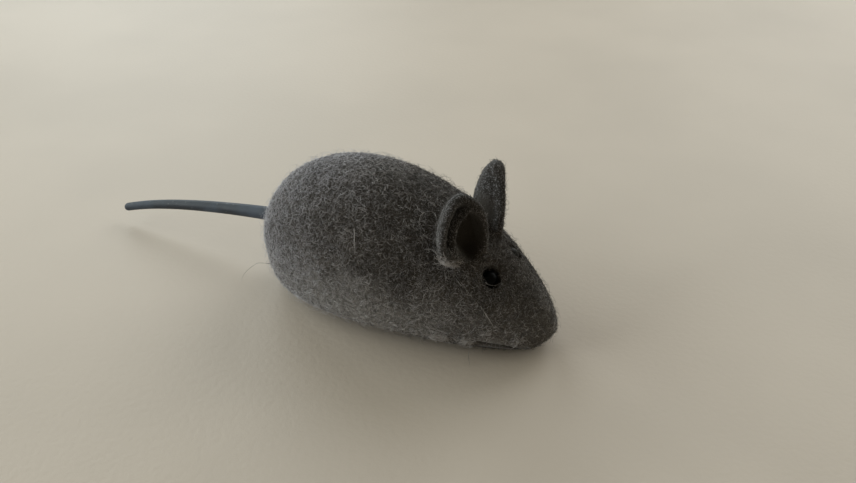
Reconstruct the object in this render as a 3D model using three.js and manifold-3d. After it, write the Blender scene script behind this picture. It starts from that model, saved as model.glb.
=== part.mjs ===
// Life-size toy mouse of flocked soft vinyl, with a rubber tail and a squeaker in its flat underside.
// Millimetres, +Z up. The nose points along +X and the mouse's left side is +Y.
// The origin is the middle of the flat underside, on the surface that the toy rests on.
// The outer surfaces are those of the flock's fibre tips.

import * as THREE from 'three';
import { mergeVertices } from 'three/addons/utils/BufferGeometryUtils.js';
import Module from 'manifold-3d';

const wasm = await Module();
wasm.setup();

// ---------------------------------------------------------------- driving dimensions

const gap = 0.3; // clearance between neighbouring pieces
const cutSize = 200; // size of the blocks that only cut, larger than the toy

// The body is an egg shape with a pole at the rump and a pole at the nose. Each of its measures is
// reach * sqrt(1 + s) * (1 - s)^blunt * exp(lean * s + bow * s^2), where s runs from -1 at the rump
// to 1 at the nose.
const body = {
  halfLength: 30,
  width: { reach: 14.98, blunt: 0.519, lean: -0.249, bow: -0.063 },
  rise: { reach: 12.82, blunt: 0.542, lean: -0.263, bow: 0.095 },
  drop: { reach: 15.309, blunt: 0.45, lean: -0.397, bow: 0 },
  rumpHeight: 10.28,
  noseHeight: 4.24,
  spineArch: 6.27,
  upperSquareness: 1.85,
  lowerSquareness: 2.95,
  baseRounding: 0.8, // how softly the flank turns into the flat underside
  baseTrim: 0.15, // what is trimmed off below to leave one flat face
  stations: 38,
  sides: 44,
};

const neck = { x: 8 }; // where the head is parted from the trunk

const ear = {
  foot: new THREE.Vector3(14.7, 6.0, 17.5), // middle of the left ear's root, in the head's surface
  lean: 4, // degrees outwards
  sweep: 2, // degrees backwards
  turn: 25, // degrees that the opening faces outwards from straight ahead
  centre: 5.1, // height of the outline's middle above the foot
  top: 7.2, // from there up to the tip
  lateral: { half: 4.85, below: 4.3, squareness: 2.0 },
  medial: { half: 4.05, below: 7.6, squareness: 3.0 },
  rim: 2.0, // thickness of the rolled rim
  bulge: 3.35, // how far the back stands out behind the rim
  backSlimness: 1.15,
  curl: 0.45, // how far the side edges curl forwards
  tipCurl: 0.55,
  groove: { depth: 1.1, at: 0.77, width: 0.07 }, // between the rim and the inner ridge
  bowl: { depth: 3.2, edge: 0.8, lateralEdge: 0.66, run: 0.3, side: 1.2, down: 0.3 },
  sides: 34,
  backRows: 7,
  rimRows: 4,
  frontRows: 12,
};

// The hollow that continues the ear's bowl into the head: its half sizes and its middle, from the foot,
// along the ear's lateral direction, height and opening.
const pit = { half: new THREE.Vector3(2.3, 2.6, 2.0), lateral: -0.5, up: 1.6, forward: -1.1 };

const eye = {
  place: new THREE.Vector3(19.7, 4.95, 15.4), // middle of the left eye, in the head's surface
  facing: new THREE.Vector3(0.58, 0.42, 0.7).normalize(),
  radius: 1.45,
  sunk: 1.8, // depth of its middle below the head's surface
  opening: 1.4, // radius of the hole that shows it
};

const mouth = {
  start: 18.4, // x of the corners
  height: 3.1,
  fall: 13, // degrees that the slit falls towards the nose
  opening: 0.7,
  depth: 1.1,
};
const chin = { x: 26.2, z: 0.9, rise: 37 }; // the snout's underside slopes up from here, in degrees

const tail = {
  length: 38.9, // along x, outside the rump
  plug: 4, // along x, inside the rump
  rootHeight: 10.2,
  fall: 6.0,
  tipFall: 1.6,
  sideways: -4,
  rootRadius: 1.3,
  tipRadius: 0.75,
  sides: 14,
  steps: 24,
};

const squeaker = { x: -8, radius: 4.4, recess: 0.3, thickness: 2.9, hole: 0.6, ring: 3.0, ringDepth: 0.5 };

const colour = {
  flock: 0x5f5c58,
  tail: 0x2b3036,
  eye: 0x0c0c0c,
  squeaker: 0xd9d4c6,
};

// ---------------------------------------------------------------- geometry helpers

// A closed surface from a grid of points: rows run from pole to pole, and each row is a closed ring.
function gridGeometry(rows) {
  const ring = rows[0].length;
  const positions = rows.flat().flatMap((p) => [p.x, p.y, p.z]);
  const index = [];
  for (let i = 0; i + 1 < rows.length; i += 1) {
    for (let j = 0; j < ring; j += 1) {
      const here = i * ring + j;
      const next = i * ring + ((j + 1) % ring);
      index.push(here, next, here + ring);
      index.push(next, next + ring, here + ring);
    }
  }
  const geometry = new THREE.BufferGeometry();
  geometry.setAttribute('position', new THREE.Float32BufferAttribute(positions, 3));
  geometry.setIndex(index);
  return geometry;
}

function toSolid(geometry) {
  const bare = geometry.clone();
  bare.deleteAttribute('normal');
  bare.deleteAttribute('uv');
  const merged = mergeVertices(bare, 1e-4);
  const triangles = [];
  for (let i = 0; i < merged.index.count; i += 3) {
    const [a, b, c] = merged.index.array.subarray(i, i + 3);
    if (a !== b && b !== c && c !== a) triangles.push(a, b, c);
  }
  const vertProperties = merged.attributes.position.array;
  const triVerts = new Uint32Array(triangles);
  return new wasm.Manifold(new wasm.Mesh({ numProp: 3, vertProperties, triVerts }));
}

function toGeometry(solid) {
  const mesh = solid.getMesh();
  const geometry = new THREE.BufferGeometry();
  geometry.setAttribute('position', new THREE.BufferAttribute(mesh.vertProperties, 3));
  geometry.setIndex(new THREE.BufferAttribute(mesh.triVerts, 1));
  geometry.computeVertexNormals();
  return geometry;
}

// The half of all space on one side of a plane, as a large block that starts at the plane.
function halfSpace(point, facing) {
  const block = new THREE.BoxGeometry(cutSize, cutSize, cutSize);
  block.translate(0, 0, cutSize / 2);
  const turn = new THREE.Quaternion().setFromUnitVectors(new THREE.Vector3(0, 0, 1), facing);
  block.applyQuaternion(turn);
  block.translate(point.x, point.y, point.z);
  return toSolid(block);
}

function smoothStep(x) {
  const t = THREE.MathUtils.clamp(x, 0, 1);
  return t * t * (3 - 2 * t);
}

function signedPower(x, power) {
  return Math.sign(x) * Math.abs(x) ** power;
}

function sideName(name, side) {
  return side > 0 ? `${name}_left` : `${name}_right`;
}

function mirrored(point, side) {
  return new THREE.Vector3(point.x, point.y * side, point.z);
}

// ---------------------------------------------------------------- body

function bodyMeasure(shape, s, grow) {
  const dome = Math.sqrt(Math.max(1 + s, 0)) * Math.max(1 - s, 0) ** shape.blunt;
  return (shape.reach + grow) * dome * Math.exp(shape.lean * s + shape.bow * s * s);
}

// Rounds the flank into a flat floor that lies baseTrim below zero.
function softFloor(z) {
  const r = body.baseRounding;
  const above = z + body.baseTrim;
  if (above >= r) return z;
  return (above > -r ? (above + r) ** 2 / (4 * r) : 0) - body.baseTrim;
}

// The body's surface, moved outwards by grow, which may be negative.
function bodyGeometry(grow) {
  const rows = [];
  for (let i = 0; i <= body.stations; i += 1) {
    const s = -Math.cos((Math.PI * i) / body.stations);
    const half = bodyMeasure(body.width, s, grow);
    const rise = bodyMeasure(body.rise, s, grow);
    const drop = bodyMeasure(body.drop, s, grow);
    const along = (s + 1) / 2;
    const slope = THREE.MathUtils.lerp(body.rumpHeight, body.noseHeight, along);
    const spine = slope + body.spineArch * (1 - s * s);
    const row = [];
    for (let j = 0; j < body.sides; j += 1) {
      const angle = (2 * Math.PI * (j + 0.5)) / body.sides;
      const upper = Math.sin(angle) > 0;
      const power = 2 / (upper ? body.upperSquareness : body.lowerSquareness);
      const y = half * signedPower(Math.cos(angle), power);
      const z = spine + (upper ? rise : drop) * signedPower(Math.sin(angle), power);
      row.push(new THREE.Vector3(s * (body.halfLength + grow), y, softFloor(z)));
    }
    rows.push(row);
  }
  return gridGeometry(rows);
}

// ---------------------------------------------------------------- ears

// The ear's own directions: along its height, sideways away from the midline, and out of its opening.
function earFrame(side) {
  const lean = THREE.MathUtils.degToRad(ear.lean);
  const sweep = THREE.MathUtils.degToRad(ear.sweep);
  const turn = THREE.MathUtils.degToRad(ear.turn);
  const up = new THREE.Vector3(-Math.sin(sweep), Math.sin(lean), Math.cos(lean)).normalize();
  const opening = new THREE.Vector3(Math.cos(turn), Math.sin(turn), 0);
  opening.addScaledVector(up, -opening.dot(up)).normalize();
  const lateral = new THREE.Vector3().crossVectors(up, opening);
  return {
    foot: mirrored(ear.foot, side),
    up: mirrored(up, side),
    opening: mirrored(opening, side),
    lateral: mirrored(lateral, side),
  };
}

// One ring of the ear: the outline scaled by ratio, depth forwards, pulled in by inset and moved
// towards the bowl by shift. depth may depend on how lateral and how high a point is.
function earRing(side, ratio, depth, { inset = 0, shift = 0 } = {}) {
  const { foot, up, opening, lateral } = earFrame(side);
  const ring = [];
  for (let j = 0; j < ear.sides; j += 1) {
    const angle = (-side * 2 * Math.PI * j) / ear.sides;
    const sideways = Math.sin(angle);
    const upwards = Math.cos(angle);
    const edge = sideways > 0 ? ear.lateral : ear.medial;
    const power = 2 / (upwards > 0 ? 2 : edge.squareness);
    const outward = smoothStep((sideways + 0.3) / 0.9);
    const below = THREE.MathUtils.lerp(ear.medial.below, ear.lateral.below, outward);
    const half = edge.half - inset * Math.min(1, 1.5 * Math.abs(sideways));
    const reach = (upwards > 0 ? ear.top : below) - inset * Math.abs(upwards);
    const w = half * signedPower(sideways, power) * ratio - ear.bowl.side * shift;
    const h = ear.centre + reach * signedPower(upwards, power) * ratio - ear.bowl.down * shift;
    const curl = ear.curl * (w / edge.half) ** 2;
    const tipCurl = ear.tipCurl * THREE.MathUtils.clamp(h / (ear.centre + ear.top), 0, 1) ** 2;
    const forward = depth(sideways, upwards) + curl + tipCurl;
    const point = foot.clone().addScaledVector(up, h).addScaledVector(lateral, w);
    ring.push(point.addScaledVector(opening, forward));
  }
  return ring;
}

function earGeometry(side) {
  const rows = [];
  for (let i = 0; i < ear.backRows; i += 1) {
    const a = (Math.PI / 2) * (i / (ear.backRows - 1));
    const back = -ear.bulge * Math.cos(a) ** ear.backSlimness - ear.rim / 2;
    rows.push(earRing(side, Math.sin(a), () => back));
  }
  for (let i = 1; i <= ear.rimRows; i += 1) {
    const a = Math.PI * (i / (ear.rimRows + 1));
    const inset = -0.4 * ear.rim * Math.sin(a);
    rows.push(earRing(side, 1, () => (-ear.rim / 2) * Math.cos(a), { inset }));
  }
  for (let i = 1; i <= ear.frontRows; i += 1) {
    const ratio = 1 - i / ear.frontRows;
    const groove = ear.groove.depth * Math.exp(-(((ratio - ear.groove.at) / ear.groove.width) ** 2));
    const front = (sideways, upwards) => {
      const outer = smoothStep((0.8 * sideways + 0.4 * upwards + 0.25) / 0.9);
      const edge = THREE.MathUtils.lerp(ear.bowl.edge, ear.bowl.lateralEdge, outer);
      const bowl = ear.bowl.depth * smoothStep((edge - ratio) / ear.bowl.run);
      return ear.rim / 2 - bowl - groove * outer * smoothStep((upwards + 0.35) / 0.4);
    };
    rows.push(earRing(side, ratio, front, { shift: smoothStep((1 - ratio) / 0.6) }));
  }
  return gridGeometry(rows);
}

// The hollow that the bowl of the ear leaves in the head.
function earPit(side) {
  const { foot, up, opening, lateral } = earFrame(side);
  const pitGeometry = new THREE.SphereGeometry(1, 16, 10);
  const centre = foot.addScaledVector(lateral, pit.lateral).addScaledVector(up, pit.up);
  centre.addScaledVector(opening, pit.forward);
  const placed = new THREE.Matrix4().makeBasis(lateral.multiplyScalar(side), up, opening).scale(pit.half);
  placed.setPosition(centre);
  pitGeometry.applyMatrix4(placed);
  return toSolid(pitGeometry);
}

// ---------------------------------------------------------------- eyes

function eyeCentre(side) {
  return mirrored(eye.place.clone().addScaledVector(eye.facing, -eye.sunk), side);
}

// A round hollow about the bead, and a straight hole from it out through the head's surface.
function eyeSocket(side) {
  const ball = new THREE.SphereGeometry(eye.radius + gap, 14, 8);
  const centre = eyeCentre(side);
  ball.translate(centre.x, centre.y, centre.z);

  const length = 2 * eye.sunk;
  const hole = new THREE.CylinderGeometry(eye.opening, eye.opening, length, 16);
  const facing = mirrored(eye.facing.clone(), side);
  hole.applyQuaternion(new THREE.Quaternion().setFromUnitVectors(new THREE.Vector3(0, 1, 0), facing));
  centre.addScaledVector(facing, length / 2);
  hole.translate(centre.x, centre.y, centre.z);
  return toSolid(ball).add(toSolid(hole));
}

// ---------------------------------------------------------------- mouth

function mouthSlit() {
  const slot = new THREE.BoxGeometry(cutSize, cutSize, mouth.opening);
  slot.translate(cutSize / 2, 0, 0);
  slot.rotateY(THREE.MathUtils.degToRad(mouth.fall));
  slot.translate(mouth.start, 0, mouth.height);
  return toSolid(slot).subtract(toSolid(bodyGeometry(-mouth.depth)));
}

function underChin() {
  const rise = THREE.MathUtils.degToRad(chin.rise);
  const downAndForwards = new THREE.Vector3(Math.sin(rise), 0, -Math.cos(rise));
  return halfSpace(new THREE.Vector3(chin.x, 0, chin.z), downAndForwards);
}

// ---------------------------------------------------------------- tail

// The tail's middle line, with t from 0 at the rump to 1 at the tip, and less than 0 in the plug.
function tailPoint(t) {
  const x = -body.halfLength - tail.length * t;
  const outside = Math.max(t, 0);
  const z = tail.rootHeight - tail.fall * t - tail.tipFall * outside ** 5;
  return new THREE.Vector3(x, tail.sideways * outside ** 2, z);
}

function tailRing(t, radius) {
  const tangent = tailPoint(t + 1e-3).sub(tailPoint(t - 1e-3)).normalize();
  const across = new THREE.Vector3().crossVectors(tangent, new THREE.Vector3(0, 0, 1)).normalize();
  const over = new THREE.Vector3().crossVectors(across, tangent);
  const ring = [];
  for (let j = 0; j < tail.sides; j += 1) {
    const angle = (-2 * Math.PI * j) / tail.sides;
    const spoke = across.clone().multiplyScalar(Math.cos(angle)).addScaledVector(over, Math.sin(angle));
    ring.push(tailPoint(t).addScaledVector(spoke, radius));
  }
  return ring;
}

// The tail from t = start to t = end, made thicker by grow, with a flat start and a round end.
function tailGeometry(start, end, grow) {
  const rows = [tailRing(start, 0)];
  for (let i = 0; i <= tail.steps; i += 1) {
    const t = THREE.MathUtils.lerp(start, end, Math.sin((Math.PI / 2) * (i / tail.steps)));
    const radius = THREE.MathUtils.lerp(tail.rootRadius, tail.tipRadius, Math.max(t, 0)) + grow;
    const left = ((end - t) * tail.length) / radius;
    rows.push(tailRing(t, left < 1 ? radius * Math.sqrt(Math.max(1 - (1 - left) ** 2, 0)) : radius));
  }
  return gridGeometry(rows);
}

function tailSocket() {
  const start = -(tail.plug + gap) / tail.length;
  return toSolid(tailGeometry(start, -start, gap));
}

// ---------------------------------------------------------------- squeaker

// A round cap with a raised ring groove and a sound hole. Its profile runs from the axis to the axis.
function squeakerGeometry() {
  const { radius, recess, thickness, hole, ring, ringDepth } = squeaker;
  const top = recess + thickness;
  const profile = [
    [0, recess + thickness / 2],
    [hole, recess + thickness / 2],
    [hole, recess],
    [ring - ringDepth, recess],
    [ring, recess + ringDepth],
    [ring + ringDepth, recess],
    [radius - ringDepth / 2, recess],
    [radius, recess + ringDepth / 2],
    [radius, top],
    [0, top],
  ];
  const lathe = new THREE.LatheGeometry(profile.map(([r, z]) => new THREE.Vector2(r, z)), 28);
  return toGeometry(toSolid(lathe));
}

function squeakerPocket() {
  const depth = 2 * (squeaker.recess + squeaker.thickness + gap);
  const pocket = new THREE.CylinderGeometry(squeaker.radius + gap, squeaker.radius + gap, depth, 28);
  pocket.rotateX(Math.PI / 2);
  pocket.translate(squeaker.x, 0, 0);
  return toSolid(pocket);
}

// ---------------------------------------------------------------- the toy

const flock = { roughness: 0.95, metalness: 0 };
const rubber = { roughness: 0.35, metalness: 0 };
const plastic = { roughness: 0.5, metalness: 0 };

function piece(name, geometry, color, finish) {
  const mesh = new THREE.Mesh(geometry, new THREE.MeshStandardMaterial({ name, color, ...finish }));
  mesh.name = name;
  return mesh;
}

function trunkGeometry(whole) {
  const behindNeck = halfSpace(new THREE.Vector3(neck.x - gap / 2, 0, 0), new THREE.Vector3(-1, 0, 0));
  return toGeometry(whole.intersect(behindNeck).subtract(squeakerPocket()).subtract(tailSocket()));
}

function headGeometry(whole) {
  const aheadOfNeck = halfSpace(new THREE.Vector3(neck.x + gap / 2, 0, 0), new THREE.Vector3(1, 0, 0));
  let solid = whole.intersect(aheadOfNeck).subtract(underChin()).subtract(mouthSlit());
  for (const side of [1, -1]) {
    solid = solid.subtract(earPit(side)).subtract(eyeSocket(side));
  }
  return toGeometry(solid);
}

const toy = new THREE.Group();
toy.name = 'flocked_toy_mouse';

const aboveFloor = halfSpace(new THREE.Vector3(0, 0, 0), new THREE.Vector3(0, 0, 1));
const whole = toSolid(bodyGeometry(0)).intersect(aboveFloor);
toy.add(piece('trunk', trunkGeometry(whole), colour.flock, flock));
toy.add(piece('head', headGeometry(whole), colour.flock, flock));

const aroundHead = toSolid(bodyGeometry(gap));
for (const side of [1, -1]) {
  const cutEar = toSolid(earGeometry(side)).subtract(aroundHead);
  toy.add(piece(sideName('ear', side), toGeometry(cutEar), colour.flock, flock));

  const bead = new THREE.SphereGeometry(eye.radius, 16, 9);
  const ball = piece(sideName('eye', side), bead, colour.eye, plastic);
  ball.position.copy(eyeCentre(side));
  toy.add(ball);
}

toy.add(piece('tail', tailGeometry(-tail.plug / tail.length, 1, 0), colour.tail, rubber));

const cap = piece('squeaker', squeakerGeometry(), colour.squeaker, plastic);
cap.rotation.x = Math.PI / 2;
cap.position.x = squeaker.x;
toy.add(cap);

export default toy;
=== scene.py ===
import math

import bpy
import numpy as np
from bpy.props import FloatProperty, FloatVectorProperty, IntProperty, PointerProperty
from mathutils import Matrix, Vector


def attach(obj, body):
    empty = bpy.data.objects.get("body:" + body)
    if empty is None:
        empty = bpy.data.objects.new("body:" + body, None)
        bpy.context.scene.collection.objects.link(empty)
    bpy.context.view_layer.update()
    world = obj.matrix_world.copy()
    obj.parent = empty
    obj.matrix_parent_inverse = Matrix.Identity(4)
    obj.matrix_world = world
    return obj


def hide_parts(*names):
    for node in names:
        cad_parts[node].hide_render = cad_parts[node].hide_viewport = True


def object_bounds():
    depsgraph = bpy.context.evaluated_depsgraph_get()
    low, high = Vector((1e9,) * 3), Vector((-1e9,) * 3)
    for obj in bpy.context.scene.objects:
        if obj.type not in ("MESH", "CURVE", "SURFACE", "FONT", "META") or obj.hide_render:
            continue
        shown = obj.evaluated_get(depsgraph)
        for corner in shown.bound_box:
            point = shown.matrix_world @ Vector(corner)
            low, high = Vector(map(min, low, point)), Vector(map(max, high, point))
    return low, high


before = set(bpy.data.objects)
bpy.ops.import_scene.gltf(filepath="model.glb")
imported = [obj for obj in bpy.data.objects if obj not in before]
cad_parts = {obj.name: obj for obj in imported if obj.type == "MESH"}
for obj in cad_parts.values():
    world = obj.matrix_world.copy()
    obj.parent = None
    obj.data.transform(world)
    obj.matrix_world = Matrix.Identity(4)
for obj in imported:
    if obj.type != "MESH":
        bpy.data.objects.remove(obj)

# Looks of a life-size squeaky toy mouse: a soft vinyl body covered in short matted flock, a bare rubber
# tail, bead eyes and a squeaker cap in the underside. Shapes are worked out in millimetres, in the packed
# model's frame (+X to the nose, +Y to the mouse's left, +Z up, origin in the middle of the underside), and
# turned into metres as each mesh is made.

bl_info = {
    "name": "Flocked toy mouse",
    "version": (1, 0, 0),
    "blender": (4, 5, 0),
    "location": "3D View > Sidebar > Toy mouse",
    "description": "Builds the skin, flock, eyes, tail and squeaker of a toy mouse around its packed model",
    "category": "Object",
}

MM = 0.001
CAD_BOX = [[float(value) for value in corner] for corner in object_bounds()]
LEFT, RIGHT = 1, -1
SIDE_NAMES = {LEFT: "left", RIGHT: "right"}

# ------------------------------------------------------------------ driving shapes, in millimetres

# Body measures: reach, blunt, lean and bow of the formula in measure().
HALF_LENGTH = 30.0
WIDTH = (14.98, 0.519, -0.249, -0.063)
RISE = (12.82, 0.542, -0.263, 0.095)
DROP = (15.309, 0.45, -0.397, 0.0)
RUMP_HEIGHT, NOSE_HEIGHT, SPINE_ARCH = 10.28, 4.24, 6.27
UPPER_SQUARENESS, LOWER_SQUARENESS = 1.85, 2.95
NECK_X = 8.0

COAT_DEPTH = 0.28  # how far the skin lies inside the fibre tips
BASE_LEVEL = 0.2  # height of the skin's flat underside, with flattened flock below it
BASE_ROUNDING = 0.9
CHIN_X, CHIN_Z, CHIN_RISE, CHIN_ROUNDING = 26.2, 0.9, 37.0, 0.5

EAR_FOOT = np.array([14.7, 6.0, 17.5])
EAR_LEAN, EAR_SWEEP, EAR_TURN = 4.0, 2.0, 25.0
EAR_CENTRE, EAR_TOP = 5.1, 7.4
EAR_LATERAL = {"half": 4.85, "below": 4.3, "squareness": 2.0}
EAR_MEDIAL = {"half": 4.05, "below": 7.6, "squareness": 3.0}
EAR_RIM, EAR_BULGE, EAR_SLIMNESS = 2.0, 3.35, 1.15
EAR_CURL, EAR_TIP_CURL, EAR_TIP_BACK = 0.45, 0.55, 1.1
EAR_GROOVE = {"depth": 1.6, "at": 0.78, "width": 0.11}
EAR_BOWL = {"depth": 3.2, "edge": 0.8, "lateral edge": 0.66, "run": 0.3, "side": 1.2, "down": 0.3}
EAR_COAT = 0.12  # the ears' flock is shorter than the body's
PIT_HALF, PIT_PLACE = (2.5, 2.8, 2.2), (-0.5, 1.6, -1.1)  # lateral, up, forward from the ear's foot

EYE_PLACE = np.array([19.7, 4.95, 15.4])
EYE_FACING = np.array([0.58, 0.42, 0.70]) / np.linalg.norm([0.58, 0.42, 0.70])
EYE_RADIUS, EYE_SUNK, EYE_OPENING, EYE_GAP, EYE_TALL = 1.45, 1.8, 1.4, 0.3, 1.28

MOUTH_START, MOUTH_END, MOUTH_HEIGHT, MOUTH_SLOPE = 18.3, 26.8, 3.47, 0.185
MOUTH_BEND_X, MOUTH_BEND = 22.5, 0.09

TAIL_LENGTH, TAIL_PLUG, TAIL_HEIGHT, TAIL_FALL, TAIL_TIP_FALL, TAIL_SIDEWAYS = 38.9, 3.5, 10.3, 6.0, 1.5, -4.0
TAIL_ROOT_RADIUS, TAIL_TIP_RADIUS = 1.40, 0.84

TUCK, TUCK_HEIGHT = 0.18, 3.8  # how far the flank draws in where it meets the table, and from what height

SQUEAKER_X, SQUEAKER_POCKET, SQUEAKER_DEPTH = -8.0, 4.75, 3.5

# ------------------------------------------------------------------ formulas


def smooth_step(x):
    """0 below 0, 1 above 1, and 3x^2 - 2x^3 between them."""
    x = np.clip(x, 0.0, 1.0)
    return x * x * (3.0 - 2.0 * x)


def signed_power(x, power):
    """|x| to a power, with the sign of x."""
    return np.sign(x) * np.abs(x) ** power


def unit(vectors):
    """Each vector divided by its length."""
    return vectors / np.maximum(np.linalg.norm(vectors, axis=-1, keepdims=True), 1e-12)


def soft_floor(z, level, rounding):
    """z well above level, level itself well below it, and a parabola within rounding of it."""
    above = np.clip(z - level, -rounding, rounding)
    return np.where(z - level > rounding, z, level + (above + rounding) ** 2 / (4.0 * rounding))


def measure(shape, s, grow=0.0):
    """(reach + grow) * sqrt(1 + s) * (1 - s)^blunt * exp(lean s + bow s^2), s from -1 (rump) to 1 (nose)."""
    reach, blunt, lean, bow = shape
    s = np.clip(s, -1.0, 1.0)
    return (reach + grow) * np.sqrt(1.0 + s) * (1.0 - s) ** blunt * np.exp(lean * s + bow * s * s)


def spine_height(s):
    """A straight slope from the rump's height to the nose's, plus an arch of SPINE_ARCH * (1 - s^2)."""
    s = np.clip(s, -1.0, 1.0)
    return RUMP_HEIGHT + (NOSE_HEIGHT - RUMP_HEIGHT) * (s + 1.0) / 2.0 + SPINE_ARCH * (1.0 - s * s)


def body_surface(s, angle, grow):
    """The egg-shaped body: at each s a superellipse of the body's width, rise and drop about the spine,
    squarer below than above, with the chin bevelled and the underside flattened."""
    half, rise, drop = (measure(shape, s, grow) for shape in (WIDTH, RISE, DROP))
    upper = np.sin(angle) > 0.0
    power = np.where(upper, 2.0 / UPPER_SQUARENESS, 2.0 / LOWER_SQUARENESS)
    x = s * (HALF_LENGTH + grow) + 0.0 * angle
    y = half * signed_power(np.cos(angle), power)
    z = spine_height(s) + np.where(upper, rise, drop) * signed_power(np.sin(angle), power)
    bevel = CHIN_Z - grow + (x - CHIN_X) * math.tan(math.radians(CHIN_RISE))
    z = bevel + soft_floor(z - bevel, 0.0, CHIN_ROUNDING)
    return np.stack([x, y, soft_floor(z, BASE_LEVEL, BASE_ROUNDING)], -1)


def body_gap(points, grow):
    """Roughly how far points lie outside the body's surface: the superellipse's own radius, less one,
    times the mean radius of the section."""
    s = points[:, 0] / (HALF_LENGTH + grow)
    half, rise, drop = (np.maximum(measure(shape, s, grow), 1e-3) for shape in (WIDTH, RISE, DROP))
    over = points[:, 2] - spine_height(s)
    upper = over > 0.0
    power = np.where(upper, UPPER_SQUARENESS, LOWER_SQUARENESS)
    height = np.where(upper, rise, drop)
    radius = ((np.abs(points[:, 1]) / half) ** power + (np.abs(over) / height) ** power) ** (1.0 / power)
    return (radius - 1.0) * np.sqrt(half * height)


def ear_axes(side):
    """The ear's foot and its lateral, upward and opening directions, mirrored for the right ear."""
    lean, sweep, turn = (math.radians(value) for value in (EAR_LEAN, EAR_SWEEP, EAR_TURN))
    up = unit(np.array([-math.sin(sweep), math.sin(lean), math.cos(lean)]))
    opening = np.array([math.cos(turn), math.sin(turn), 0.0])
    opening = unit(opening - up * opening.dot(up))
    mirror = np.array([1.0, side, 1.0])
    return [mirror * vector for vector in (EAR_FOOT, np.cross(up, opening), up, opening)]


def ear_surface(side, grow, sides=88):
    """The ear as rings scaled from its outline to nothing: behind, the bulge falls off as a power of the
    cosine; round the rim, a half circle; in front, a groove, a ridge and a bowl that sinks by smooth_step.
    Side edges and tip curl forwards with the square of their distance, and the last of the tip bends back
    with its eighth power."""
    foot, lateral, up, opening = ear_axes(side)
    turn = np.linspace(0.0, 0.5 * np.pi, 20)
    rim_turn = np.linspace(0.0, np.pi, 9)[1:-1]
    front = np.linspace(1.0, 0.0, 52)[1:]
    edge = EAR_RIM / 2.0 + grow
    none = np.zeros(sides)[None, :]

    angle = -side * np.linspace(0.0, 2.0 * np.pi, sides, endpoint=False)[None, :]
    sideways, upwards = np.sin(angle), np.cos(angle)
    outer = smooth_step((0.8 * sideways + 0.4 * upwards + 0.25) / 0.9)
    groove = EAR_GROOVE["depth"] * np.exp(-(((front - EAR_GROOVE["at"]) / EAR_GROOVE["width"]) ** 2))
    bowl_edge = EAR_BOWL["edge"] + (EAR_BOWL["lateral edge"] - EAR_BOWL["edge"]) * outer
    bowl = EAR_BOWL["depth"] * smooth_step((bowl_edge - front[:, None]) / EAR_BOWL["run"])

    ratio = np.concatenate([np.sin(turn), np.ones(len(rim_turn)), front])[:, None]
    forward = np.concatenate([
        (-EAR_BULGE * np.cos(turn) ** EAR_SLIMNESS - edge)[:, None] + none,
        (-edge * np.cos(rim_turn))[:, None] + none,
        edge - bowl - groove[:, None] * outer * smooth_step((upwards + 0.35) / 0.4),
    ])
    inset = np.concatenate([0.0 * turn, -0.8 * edge * np.sin(rim_turn), 0.0 * front])[:, None]
    shift = np.concatenate([0.0 * turn, 0.0 * rim_turn, smooth_step((1.0 - front) / 0.6)])[:, None]

    lateral_side = sideways > 0.0
    half = np.where(lateral_side, EAR_LATERAL["half"], EAR_MEDIAL["half"]) + grow
    squareness = np.where(lateral_side, EAR_LATERAL["squareness"], EAR_MEDIAL["squareness"])
    power = 2.0 / np.where(upwards > 0.0, 2.0, squareness)
    outward = smooth_step((sideways + 0.3) / 0.9)
    below = EAR_MEDIAL["below"] + (EAR_LATERAL["below"] - EAR_MEDIAL["below"]) * outward
    reach = np.where(upwards > 0.0, EAR_TOP + grow, below + grow)
    w = (half - inset * np.minimum(1.0, 1.5 * np.abs(sideways))) * signed_power(sideways, power) * ratio
    w = w - EAR_BOWL["side"] * shift
    h = (reach - inset * np.abs(upwards)) * signed_power(upwards, power) * ratio
    h = EAR_CENTRE + h - EAR_BOWL["down"] * shift
    tip = np.clip(h / (EAR_CENTRE + EAR_TOP), 0.0, 1.0)
    forward = forward + EAR_CURL * (w / half) ** 2 + EAR_TIP_CURL * tip**2 - EAR_TIP_BACK * tip**8
    return foot + w[..., None] * lateral + h[..., None] * up + forward[..., None] * opening


def ear_oval(centre, radii):
    """An oval on the left ear, from its centre and radii along the ear's lateral, upward and opening axes."""
    foot, lateral, up, opening = ear_axes(LEFT)
    return foot + centre[0] * lateral + centre[1] * up + centre[2] * opening, (lateral, up, opening), radii


def ear_place(points):
    """Each point's place by the ear on its own side: lateral, up and forward from the ear's foot."""
    mirrored = points * np.array([1.0, 0.0, 1.0]) + np.abs(points) * np.array([0.0, 1.0, 0.0])
    foot, lateral, up, opening = ear_axes(LEFT)
    return (mirrored - foot) @ np.stack([lateral, up, opening], 1)


def eye_cross(facing):
    """Two directions square to the eye's facing and to each other, in a right-handed order."""
    across = unit(np.cross([0.0, 0.0, 1.0], facing))
    return across, np.cross(facing, across)


def eye_place(points):
    """How far each point lies from the axis of the eye on its own side, and how far out along it."""
    mirrored = points * np.array([1.0, 0.0, 1.0]) + np.abs(points) * np.array([0.0, 1.0, 0.0])
    across, over = eye_cross(EYE_FACING)
    offset = mirrored - EYE_PLACE
    return np.hypot(offset @ across, offset @ over / EYE_TALL), offset @ EYE_FACING


def ball_surface(centre, axes, rows=24, sides=36):
    """An ellipsoid: centre + sin(a) (cos(b) p + sin(b) q) - cos(a) r, for half axes p, q and r."""
    a = np.linspace(0.0, np.pi, rows)[:, None, None]
    b = np.linspace(0.0, 2.0 * np.pi, sides, endpoint=False)[None, :, None]
    p, q, r = axes
    return centre + np.sin(a) * (np.cos(b) * p + np.sin(b) * q) - np.cos(a) * r


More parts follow.
